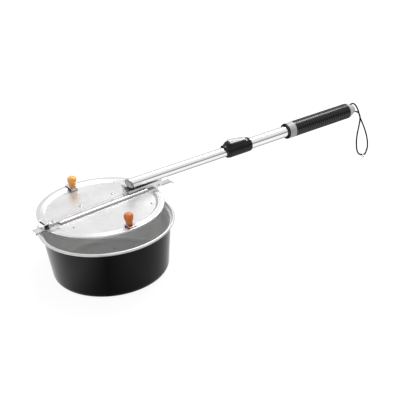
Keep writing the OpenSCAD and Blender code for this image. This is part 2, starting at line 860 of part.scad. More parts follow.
// Lock lever: pivoted at its rear, lifted by its front edge to free the tube
module lock_lever() {
    low_u = slot_floor + 0.4;
    color("darkgray")
        on_handle(lever_pin_s)
            difference() {
                union() {
                    translate([-lever_pin_u, 0, 0])
                        cross_bar(2 * cam_r, lever_w);
                    rotate([90, 0, 0])
                        translate([0, 0, -lever_w / 2])
                            linear_extrude(lever_w)
                                polygon([[-lever_pin_u - cam_r, 0],
                                         [-hump_u - 2.6, -lever_l + 3],
                                         [-hump_u - 2, -lever_l],
                                         [-low_u - 0.6, -lever_l],
                                         [-low_u, -9],
                                         [-low_u, -cam_r - 0.3],
                                         [-lever_pin_u, -cam_r + 0.6]]);
                }
                translate([-lever_pin_u, 0, 0])
                    cross_bar(pin_d + 4 * fit, lever_w + 2);
            }
}

module lock_pin() {
    color("gray")
        on_handle(lever_pin_s)
            translate([-lever_pin_u, 0, 0])
                cross_bar(pin_d, hump_w - 1);
}

// Brake pad: pressed on the inner tube by the lever's cam
module lock_pad() {
    pad_gap = 0.1;
    pad_top = lever_pin_u - cam_r - pad_gap;
    color("dimgray")
        on_handle(lever_pin_s)
            difference() {
                translate([-pad_top, -pad_w / 2, -pad_l / 2])
                    cube([pad_top - inner_r + 2, pad_w, pad_l]);
                translate([0, 0, -pad_l])
                    cylinder(d = inner_d + 2 * pad_gap, h = 2 * pad_l);
            }
}

// Grip core: a plastic sleeve on the outer tube with a lip in front
module grip_core() {
    core_l = cap_start - grip_start;
    color("#202020")
        on_handle(grip_start)
            difference() {
                union() {
                    cylinder(d = grip_d - 0.6, h = lip_l);
                    cylinder(d = core_d, h = core_l);
                }
                translate([0, 0, -eps])
                    cylinder(d = outer_d + 2 * fit, h = core_l + 2 * eps);
            }
}

module grip_ferrule() {
    color("#a8a8a8")
        on_handle(grip_start + lip_l)
            ring(grip_d, core_d + 2 * fit, ferrule_l);
}

// Rubber sleeve: grooved all round for the hand
module grip_sleeve() {
    pitch = sleeve_l / (groove_n + 1);
    color("#222222")
        on_handle(sleeve_start)
            difference() {
                ring(grip_d, core_d + 2 * fit, sleeve_l);
                for (i = [1 : groove_n])
                    translate([0, 0, i * pitch - groove_w / 2])
                        ring(grip_d + 2, grip_d - 2 * groove_depth, groove_w);
            }
}

// End cap: a tapered moulding with two holes that the wrist cord passes through
module end_cap() {
    tip_d = grip_d - 15;
    tip_l = 2.5;
    straight_l = 3;
    color("#b0b0b0")
        on_handle(cap_start)
            difference() {
                union() {
                    cylinder(d = grip_d, h = straight_l);
                    translate([0, 0, straight_l - eps])
                        cylinder(d1 = grip_d, d2 = tip_d, h = cap_l - straight_l - tip_l);
                    translate([0, 0, cap_l - tip_l - 2 * eps])
                        cylinder(d1 = tip_d, d2 = tip_d - 5, h = tip_l);
                }
                translate([0, 0, -eps])
                    cylinder(d = outer_d + 2 * fit, h = outer_end - cap_start + fit);
                translate([-cord_high_u, 0, 4])
                    rotate([0, -cord_hole_lean, 0])
                        cylinder(d = cord_hole_d, h = cap_l);
                translate([cord_low_u, 0, 4])
                    cylinder(d = cord_hole_d, h = cap_l);
            }
}

// Wrist cord: one length that leaves the cap, runs round its loop and returns
module lanyard() {
    color("black")
        wire(cord_route, cord_d, 8);
}

// Crimp: a small metal sleeve at the low end of the loop
module lanyard_crimp() {
    color("silver")
        translate([crimp_pos[0], crimp_pos[1], crimp_d / 2 + 0.1])
            rotate([0, 90, crimp_turn]) {
                cylinder(d = crimp_d, h = crimp_l - 2);
                translate([0, 0, crimp_l - 2 - eps])
                    cylinder(d1 = crimp_d, d2 = crimp_d - 1.6, h = 2);
            }
}

pan();
lid_back_half();
lid_front_half();
lid_spine();
backing_plate();
lid_rivets();
hinge_pin();
back_saddle();
front_saddle();
back_knob();
front_knob();
back_knob_screw();
front_knob_screw();
rim_hook();
hook_rivets();
handle_bracket();
tube_rivets();
latch_lever();
latch_pin();
latch_spring();
inner_tube();
inner_tube_bush();
outer_tube();
lock_body();
lock_lever();
lock_pin();
lock_pad();
grip_core();
grip_ferrule();
grip_sleeve();
end_cap();
lanyard();
lanyard_crimp();
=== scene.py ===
import math

import bmesh
import bpy
from mathutils import Matrix, Vector


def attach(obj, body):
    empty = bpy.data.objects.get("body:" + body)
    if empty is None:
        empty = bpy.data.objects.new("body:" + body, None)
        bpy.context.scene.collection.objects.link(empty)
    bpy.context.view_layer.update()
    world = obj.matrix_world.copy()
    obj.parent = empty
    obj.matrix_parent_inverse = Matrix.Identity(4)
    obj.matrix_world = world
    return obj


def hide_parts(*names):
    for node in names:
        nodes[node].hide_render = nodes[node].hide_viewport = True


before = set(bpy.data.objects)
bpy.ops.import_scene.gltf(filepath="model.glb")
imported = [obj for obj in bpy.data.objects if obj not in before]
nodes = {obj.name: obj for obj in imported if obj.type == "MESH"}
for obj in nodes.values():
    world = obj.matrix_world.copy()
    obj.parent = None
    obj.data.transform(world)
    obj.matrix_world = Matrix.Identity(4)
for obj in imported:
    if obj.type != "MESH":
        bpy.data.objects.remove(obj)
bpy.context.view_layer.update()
scene = bpy.context.scene

# Camera
# A long lens stands in front of the popper and to its left, about 1.9 m away, and looks
# down on it at 27 degrees with a slight roll. The frame is taken as 400 by 400 pixels.
focal_px = 1035.0
bar_turn = math.radians(34.87)
look_down = math.radians(26.95)
roll = math.radians(-4.34)
right = Vector((math.cos(bar_turn), -math.sin(bar_turn), 0.0))
ahead = Vector((math.cos(look_down) * math.sin(bar_turn),
                math.cos(look_down) * math.cos(bar_turn),
                -math.sin(look_down)))
down = ahead.cross(right)
view_right = math.cos(roll) * right - math.sin(roll) * down
view_down = math.sin(roll) * right + math.cos(roll) * down
stand = -(-0.1741 * right + 0.1141 * down + 1.936 * ahead)
lens = bpy.data.cameras.new("product_lens")
lens.sensor_width = 36.0
lens.lens = 36.0 * focal_px / 400.0
lens.clip_start = 0.05
lens.clip_end = 50.0
camera = bpy.data.objects.new("product_camera", lens)
scene.collection.objects.link(camera)
camera.matrix_world = Matrix((
    (view_right.x, -view_down.x, -ahead.x, stand.x),
    (view_right.y, -view_down.y, -ahead.y, stand.y),
    (view_right.z, -view_down.z, -ahead.z, stand.z),
    (0.0, 0.0, 0.0, 1.0)))
scene.camera = camera

# Wrist cord
# A limp woven cord, 3.2 mm thick, comes out of the top of the end cap, hangs to the table in
# one long loop and goes back into the end of the cap. Its two ends stop in the cap's holes.
cord_route = [
    (658.7, 51.3, 116.5), (662.2, 51.4, 117.3), (666, 51.5, 118.2), (670.3, 51.7, 118.7), (675.6, 52, 117.6),
    (680.5, 52.3, 114), (685, 52.6, 108.4), (688.9, 52.8, 101.5), (692.2, 53, 93.8), (694.8, 53.1, 86.3),
    (697.3, 53.2, 78.8), (700.5, 53.2, 71.2), (704.2, 53.2, 63.3), (708.2, 53.1, 54.3), (711.7, 52.8, 45.1),
    (714.8, 52.4, 35.5), (716.9, 51.6, 25.7), (717.6, 50.5, 16), (716, 48.2, 7.9), (711.5, 44.6, 2.7),
    (703.9, 39, 1.7), (696.2, 33.2, 1.7), (690, 28.6, 1.7), (684, 26, 1.7), (678.5, 27.8, 1.7),
    (676.6, 33, 1.7), (677.9, 39.4, 2.5), (679.9, 44.8, 6.7), (681.5, 47.9, 14), (682.3, 49, 24.2),
    (683.8, 49.3, 36.3), (686.6, 49.4, 48.2), (689.9, 49.4, 59.4), (692.4, 49.4, 69), (693.6, 49.4, 76.8),
    (693.1, 49.5, 84.3), (690.9, 50, 90.2), (687.1, 50.6, 94.3), (681.8, 51.1, 97.2), (674, 51.3, 99.2),
    (666, 51.3, 99.6)]


def new_finish(name, colour, roughness, metallic=0.0):
    """A finish with one shader, and the shader itself for the rest of its sockets."""
    finish = bpy.data.materials.new(name)
    finish.use_nodes = True
    shader = finish.node_tree.nodes["Principled BSDF"]
    shader.inputs["Base Color"].default_value = (*colour, 1.0)
    shader.inputs["Roughness"].default_value = roughness
    shader.inputs["Metallic"].default_value = metallic
    return finish, shader


def grain(finish, size, stretch=(1.0, 1.0, 1.0), turn=(0.0, 0.0, 0.0), detail=4.0, rough=0.6):
    """Noise with grains of about this size in metres, drawn out where stretch is below 1."""
    tree = finish.node_tree
    place = tree.nodes.new("ShaderNodeTexCoord")
    lay = tree.nodes.new("ShaderNodeMapping")
    lay.inputs["Rotation"].default_value = turn
    lay.inputs["Scale"].default_value = stretch
    noise = tree.nodes.new("ShaderNodeTexNoise")
    noise.inputs["Scale"].default_value = 1.0 / size
    noise.inputs["Detail"].default_value = detail
    noise.inputs["Roughness"].default_value = rough
    tree.links.new(place.outputs["Object"], lay.inputs["Vector"])
    tree.links.new(lay.outputs["Vector"], noise.inputs["Vector"])
    return noise.outputs["Fac"]


def spread(finish, pattern, low, high, start=0.3, end=0.7):
    """A pattern's middle range stretched to run from low to high."""
    node = finish.node_tree.nodes.new("ShaderNodeMapRange")
    node.inputs["From Min"].default_value = start
    node.inputs["From Max"].default_value = end
    node.inputs["To Min"].default_value = low
    node.inputs["To Max"].default_value = high
    finish.node_tree.links.new(pattern, node.inputs["Value"])
    return node.outputs["Result"]


def tint(finish, shader, pattern, *stops):
    """Colours the finish by a pattern; each stop is a place on the pattern and a colour."""
    ramp = finish.node_tree.nodes.new("ShaderNodeValToRGB")
    while len(ramp.color_ramp.elements) < len(stops):
        ramp.color_ramp.elements.new(0.5)
    for element, (at, colour) in zip(ramp.color_ramp.elements, stops):
        element.position = at
        element.color = (*colour, 1.0)
    finish.node_tree.links.new(pattern, ramp.inputs["Fac"])
    finish.node_tree.links.new(ramp.outputs["Color"], shader.inputs["Base Color"])


def rub(finish, shader, pattern, low, high):
    """Lets a pattern vary the roughness between two values."""
    finish.node_tree.links.new(spread(finish, pattern, low, high), shader.inputs["Roughness"])


def relief(finish, shader, pattern, depth, strength=1.0, under=None):
    """Raises a pattern out of the surface by a depth in metres, on top of an earlier relief."""
    bump = finish.node_tree.nodes.new("ShaderNodeBump")
    bump.inputs["Distance"].default_value = depth
    bump.inputs["Strength"].default_value = strength
    finish.node_tree.links.new(pattern, bump.inputs["Height"])
    if under is not None:
        finish.node_tree.links.new(under, bump.inputs["Normal"])
    finish.node_tree.links.new(bump.outputs["Normal"], shader.inputs["Normal"])
    return bump.outputs["Normal"]


def plait(finish, width, lean):
    """Slanting ridges of one lay of a woven cord."""
    tree = finish.node_tree
    place = tree.nodes.new("ShaderNodeTexCoord")
    lay = tree.nodes.new("ShaderNodeMapping")
    lay.inputs["Rotation"].default_value = (lean, lean, 0.0)
    ridges = tree.nodes.new("ShaderNodeTexWave")
    ridges.inputs["Scale"].default_value = 0.5 / width
    ridges.inputs["Distortion"].default_value = 1.5
    tree.links.new(place.outputs["Object"], lay.inputs["Vector"])
    tree.links.new(lay.outputs["Vector"], ridges.inputs["Vector"])
    return ridges.outputs["Fac"]


cord_weave, cord_shader = new_finish("cord_weave", (0.003, 0.003, 0.003), 0.75)
cord_shader.inputs["Specular IOR Level"].default_value = 0.08
first_lay = plait(cord_weave, 0.0008, 0.8)
second_lay = plait(cord_weave, 0.0008, -0.8)
tint(cord_weave, cord_shader, first_lay, (0.2, (0.0015, 0.0015, 0.0015)), (0.8, (0.005, 0.005, 0.0052)))
first_relief = relief(cord_weave, cord_shader, first_lay, 0.0002)
relief(cord_weave, cord_shader, second_lay, 0.0002, under=first_relief)

cord_line = bpy.data.curves.new("wrist_cord", "CURVE")
cord_line.dimensions = "3D"
cord_line.bevel_depth = 0.00165
cord_line.bevel_resolution = 4
cord_line.resolution_u = 8
cord_line.use_fill_caps = True
spline = cord_line.splines.new("BEZIER")
spline.bezier_points.add(len(cord_route) - 1)
for point, at in zip(spline.bezier_points, cord_route):
    point.co = Vector(at) * 0.001
    point.handle_left_type = "AUTO"
    point.handle_right_type = "AUTO"
wrist_cord = bpy.data.objects.new("wrist_cord", cord_line)
scene.collection.objects.link(wrist_cord)
cord_line.materials.append(cord_weave)
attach(wrist_cord, "grip_handle")
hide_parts("lanyard")

# Cord crimp
# A short aluminium sleeve is pinched flat over the low end of the loop, with a ring pressed
# into each end.
mm = Matrix.Scale(0.001, 4)


def eased(corners, steps=4, loop=False):
    """Points along a run of (a, b, radius) corners, with each corner rounded by its radius."""
    line = []
    for i, (a, b, radius) in enumerate(corners):
        here = Vector((a, b))
        if radius == 0 or (not loop and i in (0, len(corners) - 1)):
            line.append(here)
            continue
        back = Vector(corners[i - 1][:2]) - here
        on = Vector(corners[(i + 1) % len(corners)][:2]) - here
        half = back.angle(on) / 2
        reach = min(radius / math.tan(half), 0.49 * back.length, 0.49 * on.length)
        first = here + back.normalized() * reach
        last = here + on.normalized() * reach
        for k in range(steps + 1):
            t = k / steps
            line.append((1 - t) ** 2 * first + 2 * t * (1 - t) * here + t * t * last)
    return [(p.x, p.y) for p in line]


def add_piece(name, mesh, finishes, sharp=40.0):
    """Turns a bmesh into a smooth-shaded object with its finishes."""
    bmesh.ops.recalc_face_normals(mesh, faces=mesh.faces)
    data = bpy.data.meshes.new(name)
    mesh.to_mesh(data)
    mesh.free()
    for face in data.polygons:
        face.use_smooth = True
    data.set_sharp_from_angle(angle=math.radians(sharp))
    for finish in finishes:
        data.materials.append(finish)
    piece = bpy.data.objects.new(name, data)
    scene.collection.objects.link(piece)
    return piece


def turn_up(outline, place, around=72, loop=False, marks=None):
    """A lathe-turned bmesh of (radius, height) points in mm; marks give each strip its finish."""
    mesh = bmesh.new()
    rings = []
    for radius, height in outline:
        if radius < 1e-6:
            rings.append([mesh.verts.new(place @ Vector((0.0, 0.0, height)))])
            continue
        rings.append([mesh.verts.new(place @ Vector((radius * math.cos(math.tau * k / around),
                                                     radius * math.sin(math.tau * k / around),
                                                     height)))
                      for k in range(around)])
    strips = list(zip(rings, rings[1:]))
    if loop:
        strips.append((rings[-1], rings[0]))
    for i, (low, high) in enumerate(strips):
        for k in range(around):
            n = (k + 1) % around
            if len(low) == 1 and len(high) == 1:
                break
            if len(low) == 1:
                face = mesh.faces.new((low[0], high[n], high[k]))
            elif len(high) == 1:
                face = mesh.faces.new((low[k], low[n], high[0]))
            else:
                face = mesh.faces.new((low[k], low[n], high[n], high[k]))
            if marks is not None:
                face.material_index = marks[i]
    return mesh


crimp_metal, crimp_shader = new_finish("crimp_metal", (0.5, 0.5, 0.505), 0.32, 1.0)
crimp_marks = grain(crimp_metal, 0.0012, stretch=(1.0, 1.0, 0.3))
rub(crimp_metal, crimp_shader, crimp_marks, 0.24, 0.42)
relief(crimp_metal, crimp_shader, crimp_marks, 0.00005)
crimp_turn = math.radians(225.0)
crimp_place = (mm @ Matrix.Translation((678.5, 24.7, 2.4)) @ Matrix.Rotation(crimp_turn, 4, "Z")
               @ Matrix.Rotation(math.radians(90.0), 4, "Y"))
crimp_outline = eased([(0, 0, 0), (2.1, 0, 0.5), (2.3, 1.4, 0.4), (1.8, 2.1, 0.3), (2.3, 2.8, 0.4),
                       (2.3, 6.6, 0.4), (1.8, 7.3, 0.3), (2.3, 8, 0.4), (2.1, 9, 0.6),
                       (1.5, 11, 0.5), (0, 11, 0)])
cord_crimp = add_piece("cord_crimp", turn_up(crimp_outline, crimp_place, 36), [crimp_metal])
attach(cord_crimp, "grip_handle")
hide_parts("lanyard_crimp")

# Pan
# One deep-drawn steel cup with a small corner radius and a flared, rolled rim. Its outside
# is gloss black enamel up to the fold under the rim; the rim and the inside are bare.
pan_enamel, enamel_shader = new_finish("pan_enamel", (0.0025, 0.0025, 0.0027), 0.1)
enamel_shader.inputs["Specular IOR Level"].default_value = 0.12
enamel_flow = grain(pan_enamel, 0.006, detail=2.0)
enamel_specks = grain(pan_enamel, 0.0015, detail=3.0)
tint(pan_enamel, enamel_shader, enamel_specks, (0.3, (0.002, 0.002, 0.0022)),
     (0.75, (0.0035, 0.0035, 0.0037)))
rub(pan_enamel, enamel_shader, enamel_flow, 0.07, 0.13)
relief(pan_enamel, enamel_shader, enamel_flow, 0.00004, 0.6)

pan_steel, steel_shader = new_finish("pan_steel", (0.88, 0.88, 0.875), 0.4, 0.25)
spun_lines = grain(pan_steel, 0.0012, stretch=(0.04, 0.04, 1.0), detail=3.0)
worn_cloud = grain(pan_steel, 0.05, detail=5.0)
tint(pan_steel, steel_shader, worn_cloud, (0.3, (0.84, 0.84, 0.835)), (0.7, (0.92, 0.92, 0.915)))
rub(pan_steel, steel_shader, spun_lines, 0.26, 0.44)
relief(pan_steel, steel_shader, spun_lines, 0.00003, 0.7)

rim_steel, rim_shader = new_finish("rim_steel", (0.6, 0.6, 0.605), 0.34, 0.4)
rim_cloud = grain(rim_steel, 0.02, detail=4.0)
tint(rim_steel, rim_shader, rim_cloud, (0.3, (0.55, 0.55, 0.555)), (0.7, (0.65, 0.65, 0.655)))
rub(rim_steel, rim_shader, rim_cloud, 0.26, 0.4)

outside = eased([(0, 0, 0), (107.7, 0, 14), (118, 94, 3), (121.6, 96.8, 0)], steps=8)
bead = [(123.5 + 2.5 * math.cos(math.radians(a)), 98.5 + 2.5 * math.sin(math.radians(a)))
        for a in range(-130, 180, 20)]
inside = eased([(120.6, 97.6, 0), (116.7, 94.4, 3), (106.2, 1.5, 12.5), (0, 1.5, 0)], steps=8)
pan_outline = outside + bead + inside
pan_marks = [0] * (len(outside) - 5) + [1] * (len(bead) + 5) + [2] * (len(inside) - 1)
pan_mesh = turn_up(pan_outline, mm, 192, marks=pan_marks)
pan_shell = add_piece("pan_shell", pan_mesh, [pan_enamel, rim_steel, pan_steel], 50.0)
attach(pan_shell, "pan_body")
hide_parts("pan")

# Lid halves
# One aluminium disc is pressed with a raised band and a turned-down edge and cut across.
# The back half stays put; the front one is a flap with a tube rolled along its straight edge.
lid_place = mm @ Matrix.Translation((17.729, 45.942, 0.0))

lid_metal, lid_shader = new_finish("lid_metal", (0.72, 0.72, 0.725), 0.33, 1.0)
lid_brush = grain(lid_metal, 0.0016, stretch=(0.12, 1.0, 1.0), detail=4.0)
lid_mottle = grain(lid_metal, 0.0045, detail=3.0, rough=0.7)
lid_cloud = grain(lid_metal, 0.06, detail=3.0)
tint(lid_metal, lid_shader, lid_cloud, (0.35, (0.68, 0.68, 0.685)), (0.65, (0.76, 0.76, 0.765)))
rub(lid_metal, lid_shader, lid_mottle, 0.3, 0.44)
lid_lines = relief(lid_metal, lid_shader, lid_brush, 0.00002, 0.5)
relief(lid_metal, lid_shader, lid_mottle, 0.00001, 0.5, under=lid_lines)


def paint_corner_shade(finish, shader, reach, shade):
    """Paints shade into the colour: darkens it in corners and creases closer than reach, in metres."""
    tree = finish.node_tree
    colour = shader.inputs["Base Color"].links[0].from_socket
    corner = tree.nodes.new("ShaderNodeAmbientOcclusion")
    corner.samples = 8
    corner.inputs["Distance"].default_value = reach
    ramp = tree.nodes.new("ShaderNodeValToRGB")
    ramp.color_ramp.elements[0].position = 0.25
    ramp.color_ramp.elements[0].color = (shade, shade, shade, 1.0)
    ramp.color_ramp.elements[1].position = 0.75
    ramp.color_ramp.elements[1].color = (1.0, 1.0, 1.0, 1.0)
    tree.links.new(corner.outputs["AO"], ramp.inputs["Fac"])
    mix = tree.nodes.new("ShaderNodeMix")
    mix.data_type = "RGBA"
    mix.blend_type = "MULTIPLY"
    mix.inputs["Factor"].default_value = 1.0
    tree.links.new(colour, mix.inputs["A"])
    tree.links.new(ramp.outputs["Color"], mix.inputs["B"])
    tree.links.new(mix.outputs["Result"], shader.inputs["Base Color"])


# Painted shade: the lid's colour darkens in its corners and creases.
paint_corner_shade(lid_metal, lid_shader, 0.004, 0.25)


def pressed_disc(flat_side, flat_to, fade):
    """The lid's disc as a bmesh. Its band sinks to the panel's level short of y = flat_to."""
    around = 240
    mesh = bmesh.new()
    rings = []
    for k in range(around):
        turn = math.tau * (k + 0.5) / around
        reach = min(max(flat_side * (120.0 * math.sin(turn) - flat_to) / fade, 0.0), 1.0)
        rise = max(reach * reach * (3.0 - 2.0 * reach), 0.03)
        top = 105.0 + 3.5 * rise
        edge = 104.0 + 0.5 * rise
        dip = top - 0.6 * rise
        section = eased([(0, 105, 0), (103.5, 105, 3), (109, top, 1.5), (110.2, dip, 0.8), (111.6, top, 0.8),
                         (120, top, 1.2), (120, edge, 0.3), (119, edge, 0.3), (119, top - 1, 0.8),
                         (109.6, top - 1, 0.7), (104, 104, 2), (0, 104, 0)], steps=3)
        rings.append([mesh.verts.new(lid_place @ Vector((r * math.cos(turn), r * math.sin(turn), z)))
                      for r, z in section[1:-1]])
    crown = mesh.verts.new(lid_place @ Vector((0, 0, 105)))
    floor = mesh.verts.new(lid_place @ Vector((0, 0, 104)))
    for here, there in zip(rings, rings[1:] + rings[:1]):
        mesh.faces.new((crown, here[0], there[0]))
        mesh.faces.new((floor, there[-1], here[-1]))
        for i in range(len(here) - 1):
            mesh.faces.new((here[i], here[i + 1], there[i + 1], there[i]))
    return mesh


def block(x_from, x_to, y_from, y_to, z_from, z_to, place):
    """A box in mm, as a bmesh."""
    mesh = bmesh.new()
    corners = [mesh.verts.new(place @ Vector((x, y, z)))
               for x in (x_from, x_to) for y in (y_from, y_to) for z in (z_from, z_to)]
    for face in ((0, 1, 3, 2), (4, 6, 7, 5), (0, 4, 5, 1), (2, 3, 7, 6), (0, 2, 6, 4), (1, 5, 7, 3)):
        mesh.faces.new([corners[i] for i in face])
    return mesh


def rod(diameter, start, end, place, around=32):
    """A round bar between two points in mm, as a bmesh."""
    start, end = Vector(start), Vector(end)
    lie = (Matrix.Translation(start) @ (end - start).to_track_quat("Z", "Y").to_matrix().to_4x4())
    length = (end - start).length
    return turn_up([(0, 0), (diameter / 2, 0), (diameter / 2, length), (0, length)], place @ lie, around)


def worked(name, mesh, steps, finishes, sharp=40.0):
    """Adds to or cuts from a solid with the bmeshes in steps, in order, and makes it a piece."""
    piece = add_piece(name, mesh, finishes, sharp)
    tools = []
    for how, tool_mesh in steps:
        tool = add_piece("tool", tool_mesh, [])
        tools.append(tool)
        step = piece.modifiers.new("step", "BOOLEAN")
        step.operation = how
        step.solver = "EXACT"
        step.object = tool
    shaped = bpy.data.meshes.new_from_object(piece.evaluated_get(bpy.context.evaluated_depsgraph_get()))
    piece.modifiers.clear()
    rough = piece.data
    piece.data = shaped
    shaped.name = name
    bpy.data.meshes.remove(rough)
    for tool in tools:
        data = tool.data
        bpy.data.objects.remove(tool)
        bpy.data.meshes.remove(data)
    for face in shaped.polygons:
        face.use_smooth = True
    shaped.set_sharp_from_angle(angle=math.radians(sharp))
    return piece


def vents(spots):
    """Cuts for steam vents at these angles and radii."""
    cuts = []
    for degrees, radius in spots:
        x = radius * math.cos(math.radians(degrees))
        y = radius * math.sin(math.radians(degrees))
        cuts.append(("DIFFERENCE", rod(4.0, (x, y, 101), (x, y, 108), lid_place, 24)))
    return cuts


back_cuts = [("DIFFERENCE", block(-130, 130, -130, -5.3, 90, 120, lid_place)),
             ("DIFFERENCE", block(-91.2, 103.2, -6, -1.1, 90, 120, lid_place))]
back_vents = vents([(136, 101.5), (44, 101.5)])
lid_back = worked("lid_back", pressed_disc(1, 16.7, 16.0), back_cuts + back_vents, [lid_metal])
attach(lid_back, "lid")
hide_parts("lid_back_half")

flap_steps = [("DIFFERENCE", block(-130, 130, -5.6, 130, 90, 120, lid_place)),
              ("UNION", rod(6.8, (-81, -5.6, 106.5), (93, -5.6, 106.5), lid_place, 40)),
              ("DIFFERENCE", rod(3.2, (-130, -5.6, 106.5), (130, -5.6, 106.5), lid_place, 24)),
              ("DIFFERENCE", block(-91.2, -81, -9.5, -1.7, 102, 113, lid_place)),
              ("DIFFERENCE", block(93, 103.2, -9.5, -1.7, 102, 113, lid_place))]
flap_vents = vents([(-170, 103), (-156, 87), (-35, 94.5)])
lid_flap = worked("lid_flap", pressed_disc(-1, -15.1, 16.0), flap_steps + flap_vents, [lid_metal])
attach(lid_flap, "front_flap")
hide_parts("lid_front_half")

# Steel fittings of the lid
# Spine bar, backing plate, knob saddles, rim hook, handle bracket and latch are cut and
# folded from bright steel sheet, deburred at the edges, and riveted or pinned together.
bright_steel, bright_shader = new_finish("bright_steel", (0.76, 0.76, 0.77), 0.24, 1.0)
steel_brush = grain(bright_steel, 0.0012, stretch=(0.1, 1.0, 1.0), detail=3.0)
steel_cloud = grain(bright_steel, 0.012, detail=4.0)
tint(bright_steel, bright_shader, steel_cloud, (0.3, (0.68, 0.68, 0.69)), (0.7, (0.82, 0.82, 0.83)))
rub(bright_steel, bright_shader, steel_brush, 0.16, 0.34)
relief(bright_steel, bright_shader, steel_brush, 0.00001, 0.6)
# Painted shade: the bright steel's colour darkens in its corners and creases.
paint_corner_shade(bright_steel, bright_shader, 0.005, 0.1)

mirror_steel, mirror_shader = new_finish("mirror_steel", (0.7, 0.7, 0.71), 0.1, 1.0)
mirror_cloud = grain(mirror_steel, 0.01, detail=4.0)
tint(mirror_steel, mirror_shader, mirror_cloud, (0.3, (0.62, 0.62, 0.63)), (0.7, (0.74, 0.74, 0.75)))
rub(mirror_steel, mirror_shader, mirror_cloud, 0.06, 0.16)
# Painted shade: the polished steel's colour darkens in its corners and creases.
paint_corner_shade(mirror_steel, mirror_shader, 0.005, 0.1)


def deburred(node, name, round_by, finish, body, sharp=35.0):
    """A copy of a solid with its edges rounded, as a tumbled sheet part's are."""
    mesh = bmesh.new()
    mesh.from_mesh(nodes[node].data)
    bmesh.ops.remove_doubles(mesh, verts=mesh.verts, dist=1e-6)
    bmesh.ops.dissolve_limit(mesh, angle_limit=math.radians(0.5), verts=mesh.verts, edges=mesh.edges)
    limit = math.radians(sharp)
    edges = [e for e in mesh.edges if len(e.link_faces) == 2 and e.calc_face_angle(0.0) > limit]
    bmesh.ops.bevel(mesh, geom=edges, offset=round_by, offset_type="OFFSET", segments=2, profile=0.5,
                    affect="EDGES", clamp_overlap=True)
    piece = add_piece(name, mesh, [finish])
    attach(piece, body)
    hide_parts(node)
    return piece


tumbled = 0.0003
deburred("lid_spine", "spine_bar", tumbled, bright_steel, "lid")
deburred("back_saddle", "saddle_at_back", tumbled, mirror_steel, "lid")
deburred("front_saddle", "saddle_at_front", tumbled, mirror_steel, "front_flap")
hook = deburred("rim_hook", "hook_on_rim", tumbled, bright_steel, "lid")
deburred("handle_bracket", "bracket_for_handle", tumbled, bright_steel, "lid")
deburred("latch_lever", "latch_with_tongue", tumbled, bright_steel, "latch")

# Painted shade: the faces inside the clip and round the edges of its slot get a near-black steel finish.
clip_shade_paint, clip_shade_shader = new_finish("clip_shade_paint", (0.01, 0.01, 0.0105), 0.6)
clip_shade_grain = grain(clip_shade_paint, 0.0008, detail=3.0)
tint(clip_shade_paint, clip_shade_shader, clip_shade_grain, (0.3, (0.006, 0.006, 0.0062)),
     (0.7, (0.015, 0.015, 0.0155)))
rub(clip_shade_paint, clip_shade_shader, clip_shade_grain, 0.5, 0.7)
hook.data.materials.append(clip_shade_paint)
shaded_clip_low = (-104.9, 40.5, 103.2)
shaded_clip_high = (-94.6, 61.0, 113.95)
for face in hook.data.polygons:
    centre = 1000.0 * face.center
    if all(low < c < high for low, c, high in zip(shaded_clip_low, centre, shaded_clip_high)):
        face.material_index = 1


def dress(node, finish):
    """Gives a CAD node its finish."""
    data = nodes[node].data
    data.materials.clear()
    data.materials.append(finish)


for node in ("backing_plate", "hinge_pin", "latch_pin", "latch_spring",
             "back_knob_screw", "front_knob_screw"):
    dress(node, bright_steel)

# Rivets
# Soft aluminium rivets with domed heads hold the backing plate, the hook and the tube.
rivet_metal, rivet_shader = new_finish("rivet_metal", (0.5, 0.5, 0.505), 0.3, 1.0)
rivet_marks = grain(rivet_metal, 0.0009, detail=3.0)
tint(rivet_metal, rivet_shader, rivet_marks, (0.3, (0.44, 0.44, 0.445)), (0.7, (0.54, 0.54, 0.545)))
# Painted shade: the rivets' colour darkens in corners and creases.
paint_corner_shade(rivet_metal, rivet_shader, 0.003, 0.1)
rub(rivet_metal, rivet_shader, rivet_marks, 0.22, 0.4)
relief(rivet_metal, rivet_shader, rivet_marks, 0.00004, 0.6)
for node in ("lid_rivets", "hook_rivets", "tube_rivets"):
    dress(node, rivet_metal)

# Knobs
# Two turned hardwood knobs, stained orange and varnished, with a ball on a tapered neck.
# The back one took less stain. Each is held by a screw from under the lid.
def stained_wood(name, dark, middle, light):
    """Varnished hardwood with rings between these three colours."""
    wood, wood_shader = new_finish(name, middle, 0.3)
    wood_shader.inputs["Coat Weight"].default_value = 0.25
    wood_shader.inputs["Coat Roughness"].default_value = 0.12
    rings = grain(wood, 0.004, stretch=(1.0, 1.0, 0.12), detail=5.0, rough=0.65)
    pores = grain(wood, 0.0008, stretch=(1.0, 1.0, 0.06), detail=3.0)
    tint(wood, wood_shader, rings, (0.3, dark), (0.5, middle), (0.72, light))
    rub(wood, wood_shader, pores, 0.22, 0.4)
    relief(wood, wood_shader, pores, 0.00004, 0.5)
    return wood


pale_wood = stained_wood("pale_wood", (0.6, 0.2, 0.03), (0.86, 0.35, 0.06), (0.95, 0.48, 0.1))
deep_wood = stained_wood("deep_wood", (0.37, 0.08, 0.003), (0.56, 0.142, 0.006), (0.68, 0.21, 0.012))
knob_outline = eased([(2.1, 0, 0), (5.9, 0, 0.6), (6.1, 2, 1.5), (7.2, 7, 8), (8.7, 13, 6), (9, 16, 3),
                      (8.5, 19.5, 3), (5.5, 21.8, 3), (0, 22.0, 0)], steps=5)
for name, node, x, y, wood, body in (("knob_at_back", "back_knob", -0.5, 99.8, pale_wood, "lid"),
                                     ("knob_at_front", "front_knob", -4.0, -105.0, deep_wood, "front_flap")):
    knob_place = lid_place @ Matrix.Translation((x, y, 111.5))
    knob = add_piece(name, turn_up([(2.1, 13)] + knob_outline, knob_place, 48), [wood])
    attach(knob, body)
    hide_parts(node)

